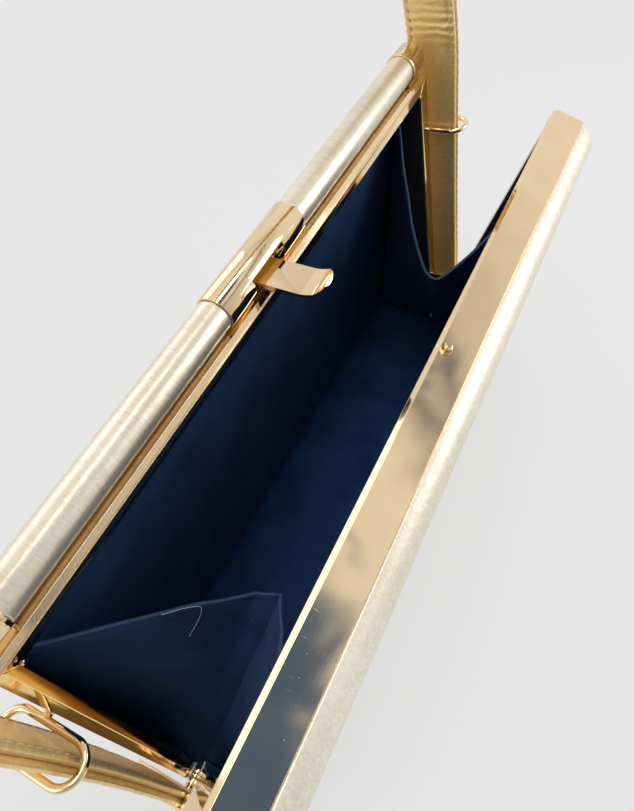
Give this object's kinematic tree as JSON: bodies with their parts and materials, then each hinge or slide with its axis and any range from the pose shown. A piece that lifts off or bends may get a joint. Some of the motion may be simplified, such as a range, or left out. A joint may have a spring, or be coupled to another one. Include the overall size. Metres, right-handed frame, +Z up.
{
  "type": "clutch bag",
  "caption": "Open hard-frame clutch bag with a leather-wrapped bar and sprung clasp on top, a navy lining and a strap handle held by wire rings at its ends.",
  "frame": {"origin": "on the surface that the open bag stands on, under the middle of the whole part with its handle up", "axes": "+X along the hinge line from the near end to the far end, +Y from the front half to the back half that carries the bar, +Z up"},
  "size_m": [0.2222, 0.082, 0.2067],
  "materials": {
    "champagne_leather": "metallic, finely crinkled",
    "strap_leather": "metallic, stitched",
    "navy_lining": "fine twill",
    "gold_metal": "polished light gold",
    "steel": "plain",
    "grey_board": "matt bookbinder's board",
    "foam_padding": "thin foam and wadding"
  },
  "bodies": {
    "back_half": {"back_top_rail": "gold_metal", "back_rail_near": "gold_metal", "back_rail_far": "gold_metal", "back_corner_rivets": "gold_metal", "back_board": "grey_board", "back_padding": "foam_padding", "back_leather": "champagne_leather", "back_end_near": "champagne_leather", "back_end_far": "champagne_leather", "back_lining": "navy_lining", "bar_core": "steel", "bar_tube_near": "steel", "bar_tube_far": "steel", "bar_leather_near": "champagne_leather", "bar_leather_far": "champagne_leather", "clasp_sleeve": "gold_metal", "bar_cap_near": "gold_metal", "bar_cap_far": "gold_metal", "lever_spring": "steel", "hinge_leaf_back_near": "gold_metal", "hinge_leaf_back_far": "gold_metal", "hinge_pin_near": "gold_metal", "hinge_pin_far": "gold_metal", "gusset_near": "navy_lining", "gusset_far": "navy_lining", "strap_inner_near": "strap_leather", "strap_inner_far": "strap_leather", "strap_outer_near": "strap_leather", "strap_outer_far": "strap_leather", "strap_bend_near": "strap_leather", "strap_bend_far": "strap_leather", "ferrule_near": "gold_metal", "ferrule_far": "gold_metal", "keeper_ring_near": "gold_metal", "keeper_ring_far": "gold_metal"},
    "front_half": {"front_top_rail": "gold_metal", "front_rail_near": "gold_metal", "front_rail_far": "gold_metal", "front_corner_rivets": "gold_metal", "front_board": "grey_board", "front_padding": "foam_padding", "front_leather": "champagne_leather", "front_end_near": "champagne_leather", "front_end_far": "champagne_leather", "front_lining": "navy_lining", "catch_stud": "gold_metal", "hinge_leaf_front_near": "gold_metal", "hinge_leaf_front_far": "gold_metal"},
    "clasp_lever": {"clasp_lever": "gold_metal"},
    "handle": {"handle_inner": "strap_leather", "handle_outer": "strap_leather"}
  },
  "joints": [
    {"name": "front_hinge", "type": "hinge", "parent": "back_half", "child": "front_half", "pos_m": [0, -0.00625, 0.00714], "axis": [1, 0, 0], "range_deg": [-22.5, 40], "deforming": ["gusset_near", "gusset_far"]},
    {"name": "lever_turn", "type": "hinge", "parent": "back_half", "child": "clasp_lever", "pos_m": [0, 0.01998, 0.11418], "axis": [1, 0, 0], "range_deg": [-34, 5], "stiffness_Nm_per_rad": 0.05},
    {"name": "handle_fold", "type": "hinge", "parent": "back_half", "child": "handle", "pos_m": [0, 0.01364, 0.10718], "axis": [1, 0, 0], "range_deg": [-90, 75], "deforming": ["strap_bend_near", "strap_bend_far"]}
  ]
}
